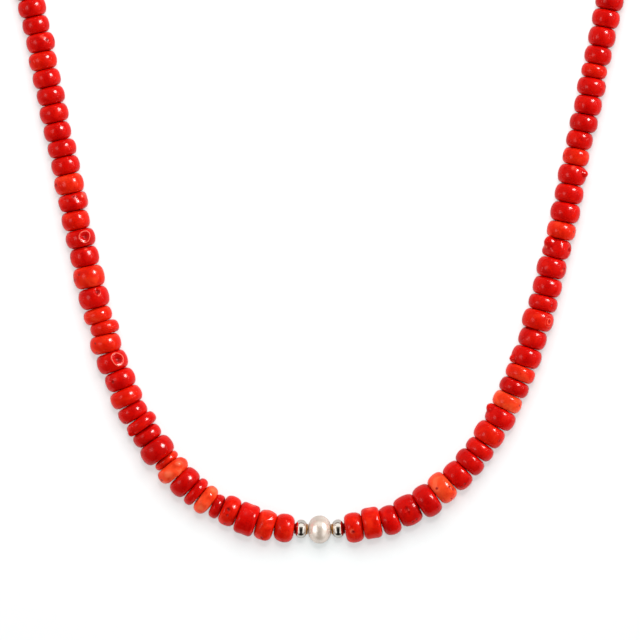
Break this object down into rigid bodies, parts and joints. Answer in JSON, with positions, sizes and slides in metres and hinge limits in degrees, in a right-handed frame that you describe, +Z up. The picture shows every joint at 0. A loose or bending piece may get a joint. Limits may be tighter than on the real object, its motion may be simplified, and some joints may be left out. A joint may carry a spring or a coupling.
{
  "type": "coral bead necklace",
  "caption": "Closed necklace of drilled coral barrel beads strung on a thread, with a pearl between metal spacers in front and a plain barrel clasp behind.",
  "frame": {"origin": "middle of the loop's box, on the surface that the necklace lies on", "axes": "+Z up from the surface, the shortest side; +Y from the pearl at the front to the clasp at the back, the longest side; +X to the wearer's left"},
  "size_m": [0.1188, 0.1709, 0.0067],
  "materials": {
    "coral": "polished",
    "pearl": "satin",
    "metal": "polished",
    "thread": "matte"
  },
  "bodies": {
    "root": {"coral_strand_left": "coral", "coral_strand_right": "coral", "pearl": "pearl", "spacer_left": "metal", "spacer_right": "metal", "thread": "thread", "clasp": "metal"}
  },
  "joints": []
}
